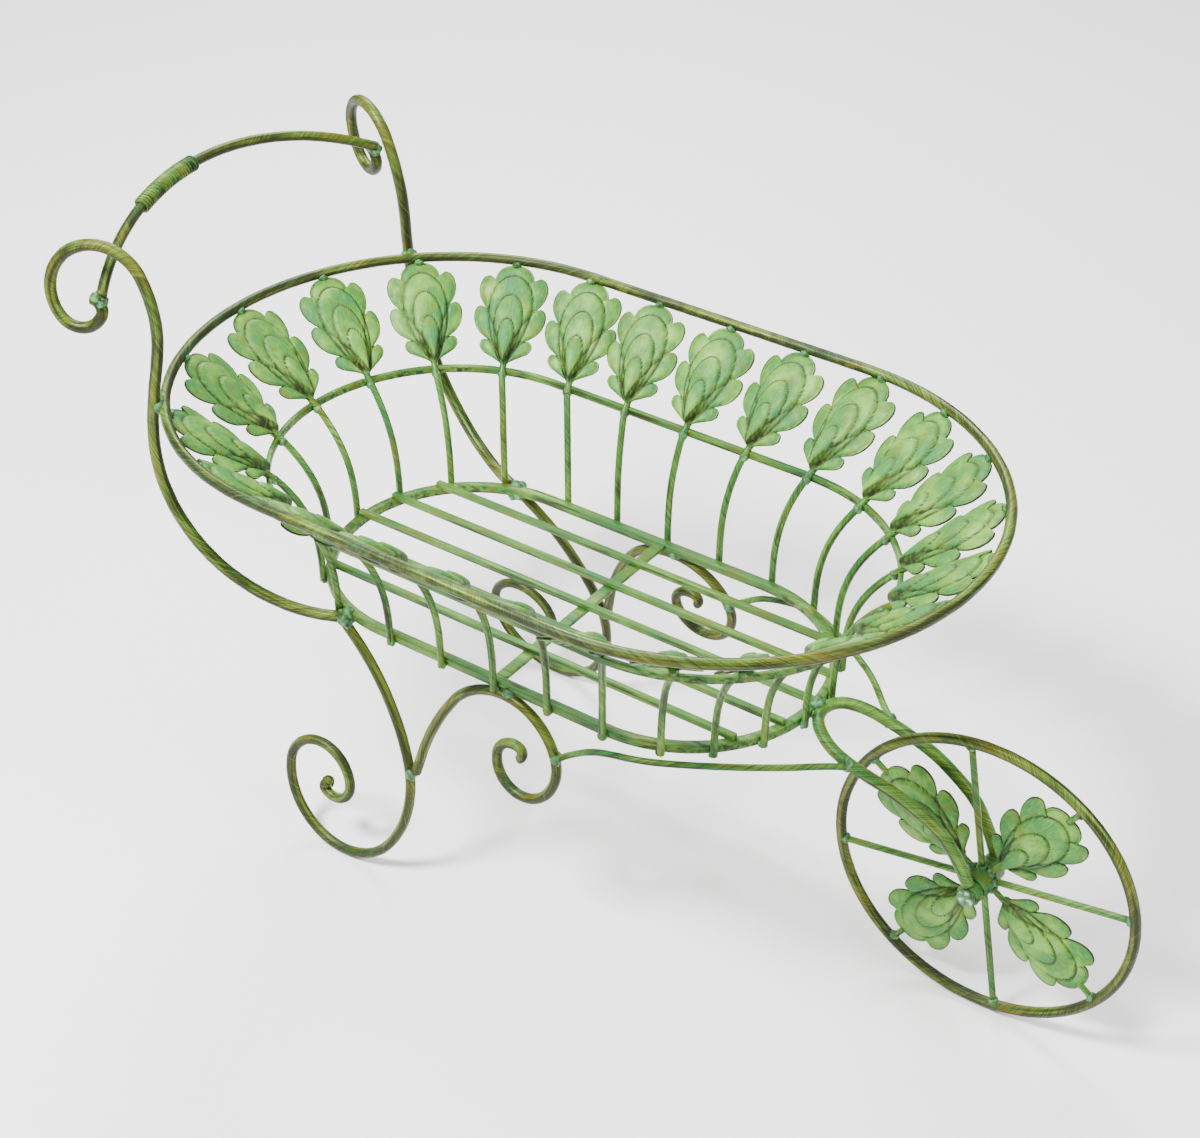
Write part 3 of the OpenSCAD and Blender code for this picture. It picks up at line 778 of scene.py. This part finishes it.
def wheel():
    """Wheel ring and hub, four spokes, and between them four leaves on stems."""
    tyre = [AXLE + WHEEL_R * wheel_way(360 / TYRE_POINTS * k) for k in range(TYRE_POINTS)]
    show(bar_mesh(tyre, ROD_R, closed=True), "wheel_tyre_bar", WHEEL_BODY, [BRONZED_BAR], ["wheel_rim"])
    show(squared_copy("wheel_hub", 1.2 * MM, 3), "hub_tube", WHEEL_BODY, [GREEN_BAR], ["wheel_hub"])
    inner = HUB_R - WELD_BITE
    outer = WHEEL_R - ROD_R + WELD_BITE
    stem_end = inner + WHEEL_LEAF_GAP + 9 * MM
    tip_start = outer - WHEEL_LEAF_GAP - 3 * MM
    beads = []
    for number in range(1, SPOKES + 1):
        way = wheel_way(WHEEL_TURN + 90 * number)
        spoke = wheel_bar(way, inner, outer, 6, SPOKE_R, number * 0.9)
        show(spoke, f"spoke_bar_{number}", WHEEL_BODY, [GREEN_BAR], [f"spoke_{number}"])
        beads.append((AXLE + way * (outer + 0.3 * MM), SPOKE_BEAD, way))
        beads.append((AXLE + way * inner, HUB_BEAD, way))
        way = wheel_way(WHEEL_TURN + 45 + 90 * number)
        leaf = leaf_mesh(AXLE + way * (inner + WHEEL_LEAF_GAP), way, Vector((0, -1, 0)),
                         (outer - inner - 2 * WHEEL_LEAF_GAP) / MM, 40 + number)
        stem = wheel_bar(way, inner, stem_end, 3, STEM_R, number)
        show(joined([stem, leaf]), f"wheel_oak_leaf_{number}", WHEEL_BODY, [GREEN_BAR, LEAF_FINISH],
             [f"wheel_leaf_{number}"])
        tip = wheel_bar(way, tip_start, outer, 3, STEM_R, number + 0.5)
        show(tip, f"wheel_leaf_tip_{number}", WHEEL_BODY, [GREEN_BAR])
        beads.append((AXLE + way * outer, STEM_BEAD, way))
        beads.append((AXLE + way * (inner + 1 * MM), HUB_BEAD, way))
    bead_piece("wheel_welds", WHEEL_BODY, beads)


# --- Handle grip ---

WIRE_R = 1.25 * MM
WIRE_TURNS = 25
WIRE_START = 2.8 * MM  # in from the grip's right end
TURN_POINTS = 10
ARCH_STEPS = 16  # to each side of the crown


def handle_arch():
    """The arched bar's middle, radius and directions across, up and out of its plane."""
    low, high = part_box("handle_bar")
    crown = Vector((low.x + ROD_R, 0, high.z - ROD_R))
    hip = Vector((high.x - ROD_R, 0, low.z + ROD_R))
    rise = crown - hip
    arc_r = (high.y ** 2 + rise.length ** 2) / (2 * rise.length)
    up = rise.normalized()
    across = Vector((0, 1, 0))
    return crown - up * arc_r, arc_r, across, up, across.cross(up)


def handle_arch_route():
    """Centre line of the arched bar, from end to end."""
    heart, arc_r, across, up = handle_arch()[:4]
    half = math.asin((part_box("handle_bar")[1].y - 0.5 * MM) / arc_r)
    angles = [half * (k / ARCH_STEPS - 1) for k in range(2 * ARCH_STEPS + 1)]
    return [heart + (across * math.sin(angle) + up * math.cos(angle)) * arc_r for angle in angles]


def grip_coil():
    """Wire wound on the arched bar, turn against turn."""
    heart, arc_r, across, up, side = handle_arch()
    start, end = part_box("wire_grip")[0].y + WIRE_START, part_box("wire_grip")[1].y
    route = []
    for step in range(WIRE_TURNS * TURN_POINTS + 1):
        share = step / (WIRE_TURNS * TURN_POINTS)
        lean = math.asin((start + (end - start) * share) / arc_r)
        wind = math.tau * step / TURN_POINTS
        out = across * math.sin(lean) + up * math.cos(lean)
        reach = ROD_R + WIRE_R * 0.95
        route.append(heart + out * (arc_r + reach * math.cos(wind)) + side * reach * math.sin(wind))
    return bar_mesh(route, WIRE_R, steps=2, blunt=0.3)


# --- Put together ---

rings()
# Each bead is its place, its size and the direction that it is pressed flat along, or None
beads = []
RIB_BEAD = 3.6 * MM
RIM_BEAD = 3.9 * MM
for number in range(1, 2 * SIDE_RIBS + REAR_RIBS + FRONT_RIBS + 1):
    foot, bend, end, along = leaf_rib(number)
    out = Vector((foot.x - BASE_MIDDLE.x, foot.y, 0)).normalized()
    under_ring = Vector((foot.x, foot.y, BASE_MIDDLE.z - 2.2 * MM)) - out * 1.2 * MM
    beads.append((under_ring, RIB_BEAD, out))
    beads.append((bend + Vector((0, 0, -1.0 * MM)), RIB_BEAD, None))
    beads.append((end - along * (ROD_R + 0.2 * MM), RIM_BEAD, along))
base_route = stadium_route(BASE_STRAIGHT, BASE_OUTSIDE - BASE_BAR / 2, BASE_MIDDLE)
fork_route = swept_piece("fork", "fork_bar", GREEN_BAR, phase=4.4)
arch_route = handle_arch_route()
for side in ("right", "left"):
    handle_route = swept_piece(f"handle_rod_{side}", f"handle_side_{side}", BRONZED_BAR, phase=1.3)
    leg_route = swept_piece(f"leg_{side}", f"leg_bar_{side}", BRONZED_BAR, phase=2.1)
    scroll_route = swept_piece(f"c_scroll_{side}", f"scroll_bar_{side}", BRONZED_BAR, phase=2.9)
    stay_route = swept_piece(f"stretcher_{side}", f"stay_bar_{side}", GREEN_BAR, phase=3.7)
    show(squared_copy(f"fork_eye_{side}", 1.0 * MM), f"fork_ring_{side}", FRAME_BODY, [GREEN_BAR],
         [f"fork_eye_{side}"])
    for first, second, size in ((handle_route, RIM_ROUTE, 5.0), (handle_route, base_route, 6.0),
                                (leg_route, handle_route, 6.5), (leg_route, base_route, 5.0),
                                (leg_route, scroll_route, 4.6), (scroll_route, base_route, 4.6),
                                (scroll_route, stay_route, 4.2), (stay_route, fork_route, 4.4),
                                (arch_route, handle_route, 4.8)):
        weld_between(beads, first, second, size * MM)
weld_between(beads, fork_route, base_route, 6.5 * MM)
show(squared_copy("axle", 0.8 * MM), "axle_bolt", FRAME_BODY, [BOLT_FINISH], ["axle"])
show(bar_mesh(arch_route, ROD_R, phase=5.0), "handle_arch", FRAME_BODY, [BRONZED_BAR], ["handle_bar"])
show(grip_coil(), "grip_wire_coil", FRAME_BODY, [WIRE_FINISH], ["wire_grip"])
bead_piece("frame_welds", FRAME_BODY, beads)
wheel()


# --- Studio ---

LAMP_AIM = Vector((0, 0, 0.2))
# Name, place, size across and power of each lamp
LAMPS = (("key", (-0.7, -1.3, 2.4), 0.7, 190.0), ("fill", (1.9, -0.2, 1.7), 1.2, 45.0),
         ("back", (-1.2, 1.4, 2.0), 1.0, 70.0))


def studio():
    """Pale floor, white surroundings and three lamps."""
    bpy.ops.mesh.primitive_plane_add(size=12.0, location=(0, 0, 0))
    floor = bpy.context.object
    floor.name = "floor"
    finish = bpy.data.materials.new("pale_floor")
    finish.use_nodes = True
    shader = finish.node_tree.nodes["Principled BSDF"]
    shader.inputs["Base Color"].default_value = (0.93, 0.93, 0.92, 1.0)
    shader.inputs["Roughness"].default_value = 0.75
    floor.data.materials.append(finish)
    world = bpy.data.worlds.new("studio")
    bpy.context.scene.world = world
    world.use_nodes = True
    sky = world.node_tree.nodes["Background"].inputs
    sky["Color"].default_value = (1.0, 1.0, 1.0, 1.0)
    sky["Strength"].default_value = 0.62
    for name, place, size, power in LAMPS:
        lamp = bpy.data.lights.new(name, "AREA")
        lamp.shape = "DISK"
        lamp.size = size
        lamp.energy = power
        light = bpy.data.objects.new(name, lamp)
        light.location = place
        light.rotation_euler = (LAMP_AIM - Vector(place)).to_track_quat("-Z", "Y").to_euler()
        bpy.context.scene.collection.objects.link(light)


EYE = Vector((0.7671, -1.1208, 1.2214))
EYE_AIM = Vector((-0.0437, 0.0108, 0.2384))
EYE_ROLL = math.radians(-0.32)
FOCAL_LENGTH = 69.54


def camera():
    """Looks down at the right side and the wheel."""
    lens = bpy.data.cameras.new("view")
    lens.lens = FOCAL_LENGTH
    lens.sensor_width = 36.0
    lens.clip_start = 0.05
    seat = bpy.data.objects.new("view", lens)
    turn = (EYE_AIM - EYE).to_track_quat("-Z", "Y").to_matrix().to_4x4()
    seat.matrix_world = Matrix.Translation(EYE) @ turn @ Matrix.Rotation(EYE_ROLL, 4, "Z")
    bpy.context.scene.collection.objects.link(seat)
    bpy.context.scene.camera = seat


studio()
camera()
